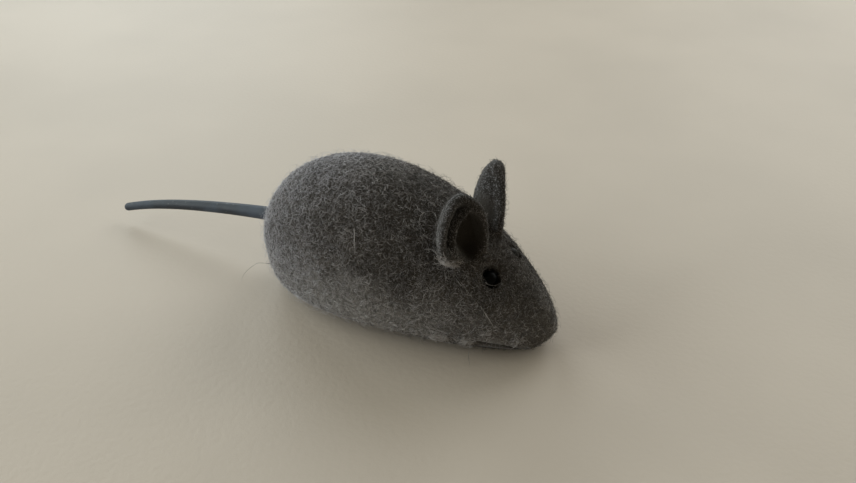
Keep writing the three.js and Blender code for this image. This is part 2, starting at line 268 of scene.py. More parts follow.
def tail_line(t):
    """The tail's middle line: straight back along x, falling in proportion to t and, past the rump, also
    with its fifth power, and bending sideways with its square."""
    out = np.maximum(t, 0.0)
    x = -HALF_LENGTH - TAIL_LENGTH * t
    z = TAIL_HEIGHT - TAIL_FALL * t - TAIL_TIP_FALL * out**5
    return np.stack([x, TAIL_SIDEWAYS * out**2, z], -1)


def tail_surface(t, radius, sides):
    """Rings of the given radii, square to the tail's middle line."""
    ahead = unit(tail_line(t + 1e-3) - tail_line(t - 1e-3))
    across = unit(np.cross(ahead, np.array([0.0, 0.0, 1.0])))
    over = np.cross(across, ahead)
    angle = -np.linspace(0.0, 2.0 * np.pi, sides, endpoint=False)[None, :, None]
    spoke = np.cos(angle) * across[:, None] + np.sin(angle) * over[:, None]
    return tail_line(t)[:, None] + radius[:, None, None] * spoke


def turned_surface(profile, centre, sides):
    """A profile of (radius, height) pairs turned about an upright axis through centre."""
    profile = np.array(profile, float)
    angle = np.linspace(0.0, 2.0 * np.pi, sides, endpoint=False)[None, :]
    radius = profile[:, :1]
    rings = [radius * np.cos(angle), radius * np.sin(angle), profile[:, 1:] + 0.0 * angle]
    return centre + np.stack(rings, -1)


# ------------------------------------------------------------------ meshes


def lofted(rings):
    """Vertices and faces of a closed surface from rings of points; the first and the last ring have no
    size and become one vertex each."""
    rows, sides = rings.shape[:2]
    inner = rings[1:-1].reshape(-1, 3)
    vertices = np.concatenate([rings[:1, 0], inner, rings[-1:, 0]])
    here = 1 + np.arange((rows - 3) * sides).reshape(rows - 3, sides)
    following = np.roll(here, -1, axis=1)
    walls = np.stack([here, following, following + sides, here + sides], -1).reshape(-1, 4)
    first = 1 + np.arange(sides)
    last = 1 + (rows - 3) * sides + np.arange(sides)
    caps = np.concatenate([
        np.stack([np.zeros(sides, int), np.roll(first, -1), first], -1),
        np.stack([np.full(sides, len(vertices) - 1), last, np.roll(last, -1)], -1),
    ])
    return vertices, [walls, caps]


def new_piece(name, vertices, faces, scale=MM):
    """Puts a mesh object of vertices (in millimetres) and arrays of faces into the scene."""
    mesh = bpy.data.meshes.new(name)
    corners = np.concatenate([group.ravel() for group in faces]).astype(np.int32)
    sizes = np.concatenate([np.full(len(group), group.shape[1]) for group in faces]).astype(np.int32)
    mesh.vertices.add(len(vertices))
    mesh.vertices.foreach_set("co", (np.asarray(vertices) * scale).astype(np.float32).ravel())
    mesh.loops.add(len(corners))
    mesh.loops.foreach_set("vertex_index", corners)
    mesh.polygons.add(len(sizes))
    mesh.polygons.foreach_set("loop_start", np.concatenate([[0], np.cumsum(sizes)[:-1]]).astype(np.int32))
    mesh.polygons.foreach_set("use_smooth", np.ones(len(sizes), bool))
    mesh.update(calc_edges=True)
    mesh.validate()
    piece = bpy.data.objects.new(name, mesh)
    bpy.context.scene.collection.objects.link(piece)
    return piece


def mesh_arrays(piece):
    """A mesh's vertices and its triangles."""
    mesh = piece.data
    mesh.calc_loop_triangles()
    vertices = np.empty(len(mesh.vertices) * 3, np.float32)
    triangles = np.empty(len(mesh.loop_triangles) * 3, np.int32)
    mesh.vertices.foreach_get("co", vertices)
    mesh.loop_triangles.foreach_get("vertices", triangles)
    return vertices.reshape(-1, 3).astype(float), triangles.reshape(-1, 3)


def apply_modifiers(piece):
    """Replaces a piece's mesh with what its modifiers make of it."""
    evaluated = piece.evaluated_get(bpy.context.evaluated_depsgraph_get())
    mesh = bpy.data.meshes.new_from_object(evaluated)
    piece.modifiers.clear()
    piece.data = mesh


def remove_piece(piece):
    bpy.data.objects.remove(piece, do_unlink=True)


def cut(piece, vertices, faces):
    """Takes a closed shape away from a piece."""
    tool = new_piece("cutter", vertices, faces, scale=1.0)
    carve = piece.modifiers.new("carve", "BOOLEAN")
    carve.operation = "DIFFERENCE"
    carve.solver = "EXACT"
    carve.object = tool
    apply_modifiers(piece)
    remove_piece(tool)


def vertex_normals(vertices, triangles):
    """Each vertex's normal: the sum of its triangles' cross products, made one long."""
    a, b, c = (vertices[triangles[:, i]] for i in range(3))
    cross = np.cross(b - a, c - a)
    total = np.zeros_like(vertices)
    for axis in range(3):
        for corner in range(3):
            total[:, axis] += np.bincount(triangles[:, corner], cross[:, axis], len(vertices))
    return unit(total)


def relax(vertices, triangles, weight, rounds):
    """Moves each vertex towards the mean of its neighbours, in proportion to weight, a number of times."""
    pairs = np.concatenate([triangles[:, [0, 1]], triangles[:, [1, 2]], triangles[:, [2, 0]]])
    pairs = np.unique(np.sort(pairs, axis=1), axis=0)
    start, end = np.concatenate([pairs, pairs[:, ::-1]]).T
    count = np.maximum(np.bincount(start, minlength=len(vertices)), 1)
    for _ in range(rounds):
        mean = np.stack([np.bincount(start, vertices[end, axis], len(vertices)) for axis in range(3)], -1)
        vertices = vertices + weight[:, None] * (mean / count[:, None] - vertices)
    return vertices


# ------------------------------------------------------------------ material parts


def add_node(tree, kind, inputs=None, **settings):
    """Adds a node of a kind; inputs go to its sockets by name or number, settings to its properties."""
    node = tree.nodes.new(kind)
    for name, value in settings.items():
        setattr(node, name, value)
    for key, value in (inputs or {}).items():
        if isinstance(value, bpy.types.NodeSocket):
            tree.links.new(value, node.inputs[key])
        else:
            node.inputs[key].default_value = value
    return node


def math_node(tree, operation, first, second=0.0, clamp=False):
    node = add_node(tree, "ShaderNodeMath", {0: first, 1: second}, operation=operation, use_clamp=clamp)
    return node.outputs[0]


def mix_colour(tree, factor, first, second, blend="MIX"):
    node = add_node(tree, "ShaderNodeMix", data_type="RGBA", blend_type=blend)
    for socket, value in ((node.inputs[0], factor), (node.inputs[6], first), (node.inputs[7], second)):
        if isinstance(value, bpy.types.NodeSocket):
            tree.links.new(value, socket)
        else:
            socket.default_value = value
    return node.outputs[2]


def ramp(tree, value, low, high):
    """0 at low, 1 at high and smooth between them."""
    node = add_node(tree, "ShaderNodeMapRange", {0: value, 1: low, 2: high}, interpolation_type="SMOOTHSTEP")
    return node.outputs[0]


def new_material(name, roughness, specular):
    """A material with one Principled shader; returns it with its tree, shader and Object coordinates."""
    material = bpy.data.materials.new(name)
    material.use_nodes = True
    tree = material.node_tree
    shader = tree.nodes["Principled BSDF"]
    shader.inputs["Roughness"].default_value = roughness
    shader.inputs["Specular IOR Level"].default_value = specular
    place = add_node(tree, "ShaderNodeTexCoord").outputs["Object"]
    return material, tree, shader, place


def new_group(name, inputs, outputs):
    """A shader node group; inputs and outputs map socket names to socket types."""
    group = bpy.data.node_groups.new(name, "ShaderNodeTree")
    for socket, kind in inputs.items():
        group.interface.new_socket(socket, in_out="INPUT", socket_type=kind)
    for socket, kind in outputs.items():
        group.interface.new_socket(socket, in_out="OUTPUT", socket_type=kind)
    entry = group.nodes.new("NodeGroupInput").outputs
    leave = group.nodes.new("NodeGroupOutput").inputs
    return group, entry, leave


EAR_MARK = ear_oval((0.0, 6.6, -1.0), (6.2, 7.0, 4.8))
# The oval of painted shade in the ears' bowls.
BOWL_SHADE_MARK = ear_oval((-1.1, 4.7, -0.7), (3.0, 4.9, 3.2))


def markings_and_shade_group():
    """The markings and painted light that skin and flock share: a cloudy tone, small clumps, painted light on the rump,
    painted shade on the face, the dust that thickens towards the table, a painted contact shadow where body and table
    meet, the darker ears, painted shade in their bowls and painted shade round the eyes, each from 0 to 1."""
    value, vector = "NodeSocketFloat", "NodeSocketVector"
    names = ("Cloud", "Clump", "Rump light", "Face shade", "Dust", "Contact shade", "Ear", "Bowl", "Socket shade")
    group, entry, leave = new_group("flock markings and painted light", {"Place": vector}, {name: value for name in names})
    place = entry["Place"]

    cloud = add_node(group, "ShaderNodeTexNoise", {"Vector": place, "Scale": 210.0, "Detail": 4.0})
    group.links.new(ramp(group, cloud.outputs[0], 0.3, 0.7), leave["Cloud"])

    clump = add_node(group, "ShaderNodeTexNoise", {"Vector": place, "Scale": 1500.0, "Detail": 1.0})
    group.links.new(ramp(group, clump.outputs[0], 0.36, 0.64), leave["Clump"])

    parts = add_node(group, "ShaderNodeSeparateXYZ", {0: place}).outputs
    height = parts["Z"]

    # Painted light: the rump, lit from the left, is paler, a little less so low down, and its edge wanders with a
    # noise.
    patch = add_node(group, "ShaderNodeTexNoise", {"Vector": place, "Scale": 170.0, "Detail": 3.0})
    drift = math_node(group, "MULTIPLY", math_node(group, "SUBTRACT", patch.outputs[0], 0.5), 0.02)
    high = math_node(group, "MULTIPLY_ADD", ramp(group, height, 0.004, 0.015), 0.3)
    high.node.inputs[2].default_value = 0.7
    pale = ramp(group, math_node(group, "ADD", parts["X"], drift), 0.003, -0.018)
    group.links.new(math_node(group, "MULTIPLY", pale, high), leave["Rump light"])
    # Painted contact shadow: darker towards the table below 3.4 mm.
    group.links.new(ramp(group, height, 0.0034, 0.0006), leave["Contact shade"])
    # Painted shade: the face, turned away from the lights, is darker.
    group.links.new(ramp(group, parts["X"], 0.011, 0.022), leave["Face shade"])

    low = ramp(group, math_node(group, "ADD", height, math_node(group, "MULTIPLY", drift, 0.6)), 0.017, 0.005)
    reach = math_node(group, "MULTIPLY_ADD", ramp(group, parts["X"], 0.022, 0.0), 0.65)
    reach.node.inputs[2].default_value = 0.35
    behind = math_node(group, "MULTIPLY_ADD", ramp(group, parts["X"], -0.022, -0.004), 0.8)
    behind.node.inputs[2].default_value = 0.2
    low = math_node(group, "MULTIPLY", low, math_node(group, "MULTIPLY", reach, behind))
    low = math_node(group, "MULTIPLY", low, ramp(group, height, 0.0004, 0.0038))
    group.links.new(low, leave["Dust"])

    axis = add_node(group, "ShaderNodeCombineXYZ", {0: 1.0, 1: -1.0, 2: 1.0}).outputs[0]
    flipped = add_node(group, "ShaderNodeVectorMath", {0: place, 1: axis}, operation="MULTIPLY").outputs[0]
    mirrored = add_node(group, "ShaderNodeMix", data_type="VECTOR")
    group.links.new(math_node(group, "LESS_THAN", parts["Y"], 0.0), mirrored.inputs[0])
    group.links.new(place, mirrored.inputs[4])
    group.links.new(flipped, mirrored.inputs[5])
    mirrored = mirrored.outputs[1]
    eye_axes = (*eye_cross(EYE_FACING), EYE_FACING)
    # The ears' own darker flock, painted shade in the ears' bowls and painted shade round the eye sockets.
    for socket, centre, axes, radii, outer, inner in (
        ("Ear", *EAR_MARK, 1.08, 0.92),
        ("Bowl", *BOWL_SHADE_MARK, 1.12, 0.86),
        ("Socket shade", EYE_PLACE, eye_axes, (1.0, EYE_TALL, 1.0), 1.85, 1.4),
    ):
        distance = oval_distance(group, mirrored, centre, axes, radii)
        group.links.new(ramp(group, distance, outer, inner), leave[socket])
    return group


def oval_distance(tree, place, centre, axes, radii):
    """How far a place lies from an oval's centre, as a share of the oval's radii along its axes."""
    offset = {0: place, 1: tuple(centre * MM)}
    offset = add_node(tree, "ShaderNodeVectorMath", offset, operation="SUBTRACT").outputs[0]
    along = {}
    for number, (axis, radius) in enumerate(zip(axes, radii)):
        pair = {0: offset, 1: tuple(axis / (radius * MM))}
        along[number] = add_node(tree, "ShaderNodeVectorMath", pair, operation="DOT_PRODUCT").outputs["Value"]
    joined = add_node(tree, "ShaderNodeCombineXYZ", along).outputs[0]
    return add_node(tree, "ShaderNodeVectorMath", {0: joined}, operation="LENGTH").outputs["Value"]


def grain_group():
    """A fine grain for smooth plastics and rubber: noise at two sizes, as a height."""
    value, vector = "NodeSocketFloat", "NodeSocketVector"
    group, entry, leave = new_group("fine grain", {"Place": vector, "Scale": value}, {"Height": value})
    fine = {"Vector": entry["Place"], "Scale": entry["Scale"], "Detail": 3.0}
    noise = add_node(group, "ShaderNodeTexNoise", fine)
    group.links.new(noise.outputs[0], leave["Height"])
    return group


def shared_group(name, make):
    """The node group of that name, made the first time it is asked for."""
    return bpy.data.node_groups.get(name) or make()


def add_markings_and_shade(tree, place):
    node = add_node(tree, "ShaderNodeGroup")
    node.node_tree = shared_group("flock markings and painted light", markings_and_shade_group)
    tree.links.new(place, node.inputs["Place"])
    return node.outputs


def add_grain(tree, place, scale):
    node = add_node(tree, "ShaderNodeGroup")
    node.node_tree = shared_group("fine grain", grain_group)
    tree.links.new(place, node.inputs["Place"])
    node.inputs["Scale"].default_value = scale
    return node.outputs["Height"]


def finish_piece(piece, material, slot, *replaced):
    """Gives a piece its material, hides the solids it stands for and hangs it on the body it rides on; its slot is not
    used.
    """
    piece.data.materials.clear()
    piece.data.materials.append(material)
    if replaced:
        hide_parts(*replaced)
    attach(piece, "root")


# ------------------------------------------------------------------ settings


class StageSettings(bpy.types.PropertyGroup):
    floor_colour: FloatVectorProperty(
        name="Floor colour", description="Colour of the table top", subtype="COLOR", size=3,
        min=0.0, max=1.0, default=(0.60, 0.52, 0.440),
    )
    room_colour: FloatVectorProperty(
        name="Room light colour", description="Colour of the light from all round", subtype="COLOR", size=3,
        min=0.0, max=1.0, default=(1.0, 0.88, 0.62),
    )
    room_strength: FloatProperty(
        name="Room light", description="Strength of the light from all round", min=0.0, default=0.165,
    )
    light_strength: FloatProperty(
        name="Studio lights", description="Strength of all the soft lights together", min=0.0, default=1.0,
    )


class SkinSettings(bpy.types.PropertyGroup):
    mesh_size: FloatProperty(
        name="Mesh size", description="Width of the skin's quads", unit="LENGTH", precision=5,
        min=0.0002, max=0.002, default=0.000285,
    )
    colour: FloatVectorProperty(
        name="Skin colour", description="Colour of the dyed vinyl under the flock", subtype="COLOR", size=3,
        min=0.0, max=1.0, default=(0.032, 0.026, 0.021),
    )


class CoatSettings(bpy.types.PropertyGroup):
    seed: IntProperty(name="Seed", description="Start of the random draws", default=7)
    short_count: IntProperty(
        name="Short fibres", description="Number of short, nearly straight fibres", min=0, default=70000,
    )
    curly_count: IntProperty(
        name="Curly fibres", description="Number of longer, curled fibres", min=0, default=18000,
    )
    wispy_count: IntProperty(
        name="Wispy fibres", description="Number of long fibres that stand off the coat", min=0, default=3600,
    )
    tuft_count: IntProperty(
        name="Tuft fibres", description="Number of pale curls in the small tufts", min=0, default=1300,
    )
    thickness: FloatProperty(
        name="Fibre thickness", description="Width of a fibre at its root", unit="LENGTH", precision=5,
        min=0.00001, max=0.0005, default=0.00007,
    )
    light_colour: FloatVectorProperty(
        name="Light fibres", description="Colour of the palest fibres on the rump", subtype="COLOR", size=3,
        min=0.0, max=1.0, default=(0.515, 0.50, 0.53),
    )
    warm_colour: FloatVectorProperty(
        name="Warm fibres", description="Colour of the palest fibres on the face", subtype="COLOR", size=3,
        min=0.0, max=1.0, default=(0.53, 0.495, 0.48),
    )
    dark_colour: FloatVectorProperty(
        name="Dark fibres", description="Colour of the darkest fibres", subtype="COLOR", size=3,
        min=0.0, max=1.0, default=(0.027, 0.022, 0.018),
    )
    dust_colour: FloatVectorProperty(
        name="Dust", description="Colour of the dust on the lowest edge", subtype="COLOR", size=3,
        min=0.0, max=1.0, default=(0.40, 0.385, 0.37),
    )
    # Painted shade: the dark colour given to the flock in the ears' bowls.
    bowl_shade_colour: FloatVectorProperty(
        name="Ear bowl", description="Colour of the worn flock inside the ears", subtype="COLOR", size=3,
        min=0.0, max=1.0, default=(0.034, 0.028, 0.022),
    )


class SmallPartSettings(bpy.types.PropertyGroup):
    eye_colour: FloatVectorProperty(
        name="Eye colour", description="Colour of the bead eyes", subtype="COLOR", size=3,
        min=0.0, max=1.0, default=(0.002, 0.002, 0.0023),
    )
    eye_roughness: FloatProperty(
        name="Eye roughness", description="Roughness of the bead eyes", subtype="FACTOR",
        min=0.0, max=1.0, default=0.35,
    )
    # The tail colour's blue tint is a painted reflection of cool light on dark rubber.
    tail_colour: FloatVectorProperty(
        name="Tail colour", description="Colour of the rubber tail", subtype="COLOR", size=3,
        min=0.0, max=1.0, default=(0.023, 0.029, 0.039),
    )
    tail_roughness: FloatProperty(
        name="Tail roughness", description="Roughness of the rubber tail", subtype="FACTOR",
        min=0.0, max=1.0, default=0.5,
    )
    squeaker_colour: FloatVectorProperty(
        name="Squeaker colour", description="Colour of the plastic squeaker cap", subtype="COLOR", size=3,
        min=0.0, max=1.0, default=(0.62, 0.6, 0.55),
    )


# ------------------------------------------------------------------ the stage

CAMERA_PLACE = (71.11, -118.42, 102.29)
CAMERA_AXES = ((0.8709, 0.4915, 0.0), (-0.2660, 0.4710, 0.8410), (0.4134, -0.7324, 0.5410))
CAMERA_LENS = 37.85
FLOOR_SIZE = 1600.0
# Soft round lights: name, place, width, power in watts and colour.
LIGHTS = (
    ("left light", (-1100.0, -100.0, 450.0), 900.0, 6.9, (0.90, 1.0, 1.0)),
    ("left front light", (-900.0, -700.0, 450.0), 700.0, 4.7, (0.90, 1.0, 1.0)),
    ("left back light", (-800.0, 700.0, 500.0), 700.0, 4.8, (0.88, 0.97, 1.0)),
    ("back light", (100.0, 1100.0, 600.0), 900.0, 5.8, (0.95, 1.0, 1.0)),
    ("right back light", (800.0, 700.0, 500.0), 700.0, 1.5, (0.93, 1.0, 0.95)),
    ("low front light", (-700.0, -900.0, 170.0), 600.0, 3.3, (0.95, 1.0, 1.0)),
)


def aim(thing, place, target):
    """Puts a light or camera at a place, in millimetres, looking at a target."""
    thing.location = Vector(place) * MM
    thing.rotation_euler = (Vector(target) - Vector(place)).to_track_quat("-Z", "Y").to_euler()


def add_area_light(name, place, target, size, power, colour):
    light = bpy.data.lights.new(name, "AREA")
    light.shape = "DISK"
    light.size = size * MM
    light.energy = power
    light.color = colour
    lamp = bpy.data.objects.new(name, light)
    bpy.context.scene.collection.objects.link(lamp)
    aim(lamp, place, target)
    return lamp


def floor_material(settings):
    """A pale, faintly grained table top."""
    material, tree, shader, place = new_material("table top", 0.55, 0.35)
    height = add_grain(tree, place, 900.0)
    bump = add_node(tree, "ShaderNodeBump", {"Strength": 0.12, "Distance": 0.0004, "Height": height})
    tree.links.new(bump.outputs[0], shader.inputs["Normal"])
    cloud = add_node(tree, "ShaderNodeTexNoise", {"Vector": place, "Scale": 14.0, "Detail": 3.0})
    pale = (*settings.floor_colour, 1.0)
    dull = (*(0.93 * channel for channel in settings.floor_colour), 1.0)
    colour = mix_colour(tree, ramp(tree, cloud.outputs[0], 0.35, 0.65), pale, dull)
    tree.links.new(colour, shader.inputs["Base Color"])
    return material


def build_stage(settings):
    """A flat floor at height 0, light from all round, large soft lights and the camera."""
    scene = bpy.context.scene
    half = FLOOR_SIZE / 2.0
    corners = np.array([[-half, -half, 0.0], [half, -half, 0.0], [half, half, 0.0], [-half, half, 0.0]])
    floor = new_piece("floor", corners, [np.array([[0, 1, 2, 3]])])
    floor.data.materials.append(floor_material(settings))

    world = bpy.data.worlds.new("room")
    world.use_nodes = True
    background = world.node_tree.nodes["Background"]
    background.inputs["Color"].default_value = (*settings.room_colour, 1.0)
    background.inputs["Strength"].default_value = settings.room_strength
    scene.world = world
    scene.view_settings.view_transform = "Standard"

    middle = (0.0, 0.0, 0.0)
    for name, place, size, power, colour in LIGHTS:
        add_area_light(name, place, middle, size, power * settings.light_strength, colour)

    camera = bpy.data.objects.new("camera", bpy.data.cameras.new("camera"))
    scene.collection.objects.link(camera)
    camera.data.lens = CAMERA_LENS
    camera.data.sensor_width = 36.0
    camera.data.clip_start, camera.data.clip_end = 0.005, 10.0
    turn = Matrix(CAMERA_AXES).transposed().to_4x4()
    camera.matrix_world = Matrix.Translation(Vector(CAMERA_PLACE) * MM) @ turn
    scene.camera = camera


# ------------------------------------------------------------------ the skin


def mouth_profile(points):
    """How far points lie above the mouth's line, and how near they are to its stretch, 0 to 1. The line
    starts below the eye and falls evenly towards the nose, then also with the square of its way past
    MOUTH_BEND_X."""
    x, z = points[:, 0], points[:, 2]
    line = MOUTH_HEIGHT - MOUTH_SLOPE * (x - MOUTH_START) - MOUTH_BEND * np.maximum(x - MOUTH_BEND_X, 0.0) ** 2
    above = z - line
    along = smooth_step((x - MOUTH_START + 0.6) / 1.2) * smooth_step((MOUTH_END - x + 0.6) / 1.2)
    return above, along


def fold_share(points):
    """1 along the bottom of the ears' grooves and of the mouth, 0 away from them."""
    place = ear_place(points)
    w = place[:, 0] + 0.33 * EAR_BOWL["side"]
    h = place[:, 1] - EAR_CENTRE + 0.33 * EAR_BOWL["down"]
    w = w / np.where(w > 0.0, EAR_LATERAL["half"], EAR_MEDIAL["half"])
    h = h / np.where(h > 0.0, EAR_TOP, EAR_LATERAL["below"])
    ratio = np.maximum(np.hypot(w, h), 1e-6)
    outer = smooth_step((0.8 * w + 0.4 * h) / ratio / 0.9 + 0.28) * smooth_step((h / ratio + 0.35) / 0.4)
    groove = outer * np.exp(-(((ratio - EAR_GROOVE["at"]) / (1.1 * EAR_GROOVE["width"])) ** 2))
    groove = groove * (np.abs(place[:, 2] - 1.0) < 2.4)
    above, along = mouth_profile(points)
    return np.maximum(groove, along * np.exp(-((above / 0.36) ** 2)) * (np.abs(points[:, 1]) > 1.0))


def shape_skin(vertices, triangles):
    """Rounds the joins of the ears, presses in the mouth and a hollow round each eye, and sets the jaw
    back below the mouth. Also returns how deep in the ears' grooves and the mouth each vertex lies, the share of
    painted shade there."""
    place = ear_place(vertices)
    near_ear = smooth_step((place[:, 1] + 4.0) / 2.0) * smooth_step((9.0 - place[:, 1]) / 2.0)
    near_ear *= smooth_step((7.5 - np.abs(place[:, 0])) / 2.0) * smooth_step((7.0 - np.abs(place[:, 2])) / 2.0)
    join = near_ear * np.exp(-((body_gap(vertices, -COAT_DEPTH) / 1.1) ** 2))
    vertices = relax(vertices, triangles, np.full(len(vertices), 0.5), 2)
    vertices = relax(vertices, triangles, 0.6 * join, 26)

    normals = vertex_normals(vertices, triangles)
    above, along = mouth_profile(vertices)
    fold_shade = fold_share(vertices)
    groove = 1.25 * np.exp(-((above / 0.34) ** 2))
    jaw = 0.1 * smooth_step((0.3 - above) / 0.6) * smooth_step((vertices[:, 0] - 16.0) / 4.0)
    flank = smooth_step((np.abs(vertices[:, 1]) - 0.5) / 2.0)
    depth = along * groove * flank + jaw * smooth_step((vertices[:, 2] - BASE_LEVEL) / 0.6)
    reach, _ = eye_place(vertices)
    near_eye = (np.linalg.norm(np.abs(vertices * [0, 1, 0]) + vertices * [1, 0, 1] - EYE_PLACE, axis=1) < 4.0)
    depth = depth + 0.25 * near_eye * smooth_step((reach - 1.0) / 0.4) * smooth_step((3.0 - reach) / 1.6)
    vertices = vertices - normals * depth[:, None]
    low = np.clip(1.0 - vertices[:, 2] / TUCK_HEIGHT, 0.0, 1.0)
    vertices[:, 1] *= 1.0 - TUCK * low**2 * (0.3 + 0.7 * smooth_step((20.0 - vertices[:, 0]) / 18.0))
    vertices[:, 2] = np.maximum(vertices[:, 2], BASE_LEVEL * 0.6)
    return vertices, fold_shade


def skin_material(settings):
    """Dyed vinyl with a nap of stray flock: a dark colour, clouded, with painted shade along the table's edge, in the
    ears' bowls and grooves, round the eyes and in the mouth, and a felted bump.
    """
    material, tree, shader, place = new_material("flocked skin", 0.85, 0.2)
    coat = bpy.context.scene.mouse_coat
    marks = add_markings_and_shade(tree, place)
    base = (*settings.colour, 1.0)
    pale = (*(1.7 * channel for channel in settings.colour), 1.0)
    colour = mix_colour(tree, marks["Cloud"], base, pale)
    colour = mix_colour(tree, math_node(tree, "MULTIPLY", marks["Ear"], 0.5), colour, (0.012, 0.012, 0.013, 1.0))
    speck = add_node(tree, "ShaderNodeTexNoise", {"Vector": place, "Scale": 4200.0, "Detail": 2.0})
    nap = ramp(tree, speck.outputs[0], 0.5, 0.68)
    colour = mix_colour(tree, math_node(tree, "MULTIPLY", nap, 0.35), colour, (*coat.light_colour, 1.0))
    colour = mix_colour(tree, math_node(tree, "MULTIPLY", marks["Dust"], 0.5), colour, (*coat.dust_colour, 1.0))
    # Painted contact shadow along the lowest edge.
    colour = mix_colour(tree, math_node(tree, "MULTIPLY", marks["Contact shade"], 0.7), colour, (0.012, 0.011, 0.01, 1.0))
    # Painted shade in the ears' bowls.
    colour = mix_colour(tree, marks["Bowl"], colour, (*coat.bowl_shade_colour, 1.0))
    # Painted shade round the eye sockets.
    colour = mix_colour(tree, math_node(tree, "MULTIPLY", marks["Socket shade"], 0.8), colour, (0.01, 0.009, 0.008, 1.0))
    # Painted shade along the bottom of the ears' grooves and of the mouth.
    fold_shade = add_node(tree, "ShaderNodeAttribute", attribute_name="fold_shade").outputs["Fac"]
    colour = mix_colour(tree, math_node(tree, "MULTIPLY", fold_shade, 0.9), colour, (0.005, 0.0045, 0.004, 1.0))
    tree.links.new(colour, shader.inputs["Base Color"])
    bump = add_node(tree, "ShaderNodeBump", {"Strength": 0.6, "Distance": 0.00012, "Height": speck.outputs[0]})
    tree.links.new(bump.outputs[0], shader.inputs["Normal"])
    shader.inputs["Sheen Weight"].default_value = 0.2
    shader.inputs["Sheen Roughness"].default_value = 0.5
    return material


def build_skin(settings):
    """Body and ears as one closed skin, hollowed for the tail, the squeaker and the ears' bowls."""
    s = -np.cos(np.linspace(0.0, np.pi, 200))[:, None]
    angle = np.linspace(0.0, 2.0 * np.pi, 240, endpoint=False)[None, :]
    skin = new_piece("skin", *lofted(body_surface(s, -angle, -COAT_DEPTH)), scale=1.0)

    for side in (LEFT, RIGHT):
        foot, lateral, up, opening = ear_axes(side)
        centre = foot + PIT_PLACE[0] * lateral + PIT_PLACE[1] * up + PIT_PLACE[2] * opening
        axes = [size * axis for size, axis in zip(PIT_HALF, (lateral, up, side * opening))]
        cut(skin, *lofted(ball_surface(centre, axes)))

        mirror = np.array([1.0, side, 1.0])
        facing = EYE_FACING * mirror
        across, over = eye_cross(facing)
        socket = EYE_RADIUS + EYE_GAP
        centre = EYE_PLACE * mirror - EYE_SUNK * facing
        cut(skin, *lofted(ball_surface(centre, [socket * axis for axis in (across, over, facing)])))
        turn = np.linspace(0.0, 2.0 * np.pi, 48, endpoint=False)[None, :, None]
        radius = np.array([0.0, 1.0, 1.0, 0.0])[:, None, None] * EYE_OPENING
        out = np.array([0.0, 0.0, 2.5, 2.5])[:, None, None] * EYE_SUNK
        cut(skin, *lofted(centre + radius * (np.cos(turn) * across + EYE_TALL * np.sin(turn) * over) + out * facing))

    t = np.linspace(-TAIL_PLUG / TAIL_LENGTH, 0.05, 8)
    hole = tail_surface(t, np.full(8, TAIL_ROOT_RADIUS + 0.12), 48)
    hole = np.concatenate([np.repeat(tail_line(t[:1])[:, None], 48, 1), hole,
                           np.repeat(tail_line(t[-1:])[:, None], 48, 1)])
    cut(skin, *lofted(hole))
    pocket = [(0.0, -1.0), (SQUEAKER_POCKET, -1.0), (SQUEAKER_POCKET, SQUEAKER_DEPTH), (0.0, SQUEAKER_DEPTH)]
    cut(skin, *lofted(turned_surface(pocket, np.array([SQUEAKER_X, 0.0, 0.0]), 96)))

    for side in (LEFT, RIGHT):
        ear = new_piece("ear", *lofted(ear_surface(side, -EAR_COAT)), scale=1.0)
        join = skin.modifiers.new("join", "BOOLEAN")
        join.operation = "UNION"
        join.solver = "EXACT"
        join.object = ear
        apply_modifiers(skin)
        remove_piece(ear)

    remesh = skin.modifiers.new("even mesh", "REMESH")
    remesh.mode = "VOXEL"
    remesh.voxel_size = settings.mesh_size / MM
    apply_modifiers(skin)

    vertices, triangles = mesh_arrays(skin)
    vertices, fold_shade = shape_skin(vertices, triangles)
    remove_piece(skin)
    skin = new_piece("skin", vertices, [triangles])
    # How much painted shade the grooves of the ears and the mouth get.
    skin.data.attributes.new("fold_shade", "FLOAT", "POINT").data.foreach_set("value", fold_shade.astype(np.float32))
    finish_piece(skin, skin_material(settings), "flock", "trunk", "head", "ear_left", "ear_right")
    return skin


# ------------------------------------------------------------------ the flock


def spread_roots(vertices, triangles, weight, count, rng):
    """Points spread over a mesh in proportion to area and weight, with the mesh's normals there."""
    a, b, c = (vertices[triangles[:, i]] for i in range(3))
    area = np.linalg.norm(np.cross(b - a, c - a), axis=1) * weight
    chosen = np.searchsorted(np.cumsum(area) / area.sum(), rng.random(count))
    u, v = rng.random((2, count))
    over = u + v > 1.0
    u, v = np.where(over, 1.0 - u, u)[:, None], np.where(over, 1.0 - v, v)[:, None]
    corners = triangles[chosen]
    mix = [1.0 - u - v, u, v]
    normals = vertex_normals(vertices, triangles)
    roots = sum(part * vertices[corners[:, i]] for i, part in enumerate(mix))
    return roots, unit(sum(part * normals[corners[:, i]] for i, part in enumerate(mix)))


